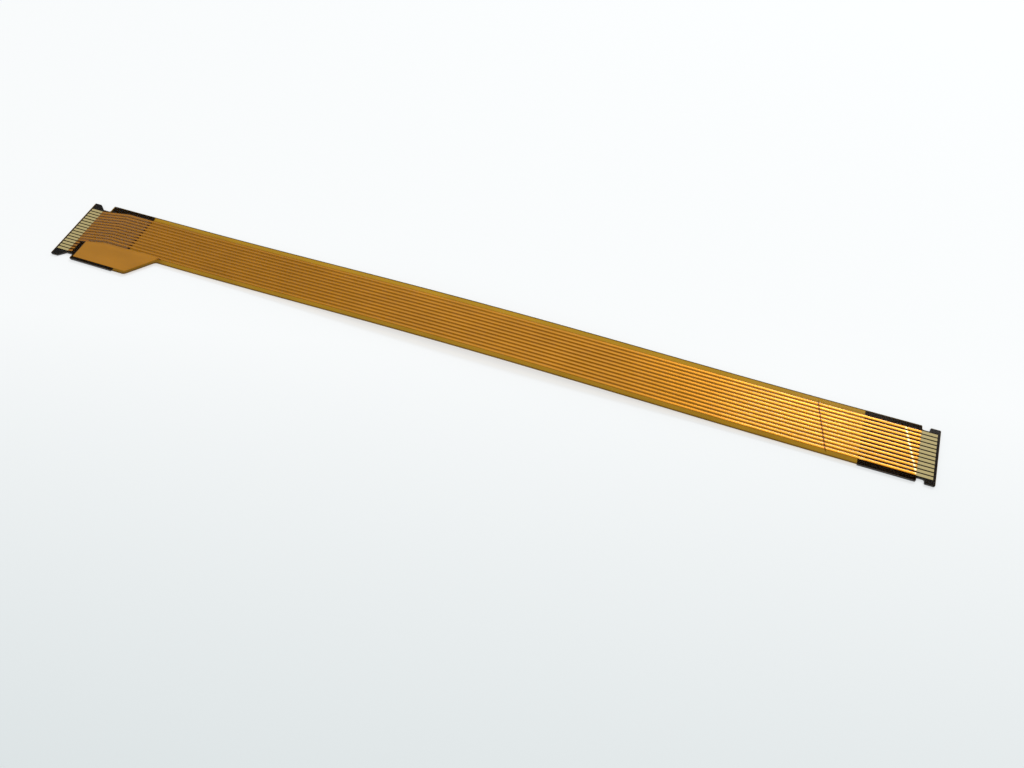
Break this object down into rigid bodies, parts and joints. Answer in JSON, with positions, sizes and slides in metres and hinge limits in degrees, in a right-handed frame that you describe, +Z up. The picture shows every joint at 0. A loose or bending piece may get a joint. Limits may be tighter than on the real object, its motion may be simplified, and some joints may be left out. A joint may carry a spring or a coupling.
{
  "type": "flexible printed cable",
  "caption": "Flat amber film cable with printed conductors, bare plated fingers, locking ears and stiffened tails, and a copper-backed tab near the wide tail.",
  "frame": {"origin": "middle of the cable's box at the surface that it lies on, under the stiffeners", "axes": "+X along the cable from the wide tail to the narrow tail, +Y across it to the side away from the tab, +Z up out of the contact side"},
  "size_m": [0.114, 0.0104, 0.0009],
  "materials": {
    "polyimide_base": "clear amber film, satin back",
    "polyimide_cover": "clear amber film, glossy, ridged over the conductors",
    "copper_foil": "etched copper foil",
    "finger_plating": "pale plated, satin",
    "stiffener_black": "black stiffener film, satin"
  },
  "bodies": {
    "root": {"base_film": "polyimide_base", "coverlay": "polyimide_cover", "conductor_01": "copper_foil", "conductor_02": "copper_foil", "conductor_03": "copper_foil", "conductor_04": "copper_foil", "conductor_05": "copper_foil", "conductor_06": "copper_foil", "conductor_07": "copper_foil", "conductor_08": "copper_foil", "conductor_09": "copper_foil", "conductor_10": "copper_foil", "conductor_11": "copper_foil", "ground_conductor": "copper_foil", "spare_contact_13": "copper_foil", "spare_contact_14": "copper_foil", "spare_contact_15": "copper_foil", "spare_contact_16": "copper_foil", "plating_wide_tail": "finger_plating", "plating_narrow_tail": "finger_plating", "stiffener_wide_tail": "stiffener_black", "stiffener_narrow_tail": "stiffener_black"}
  },
  "joints": []
}
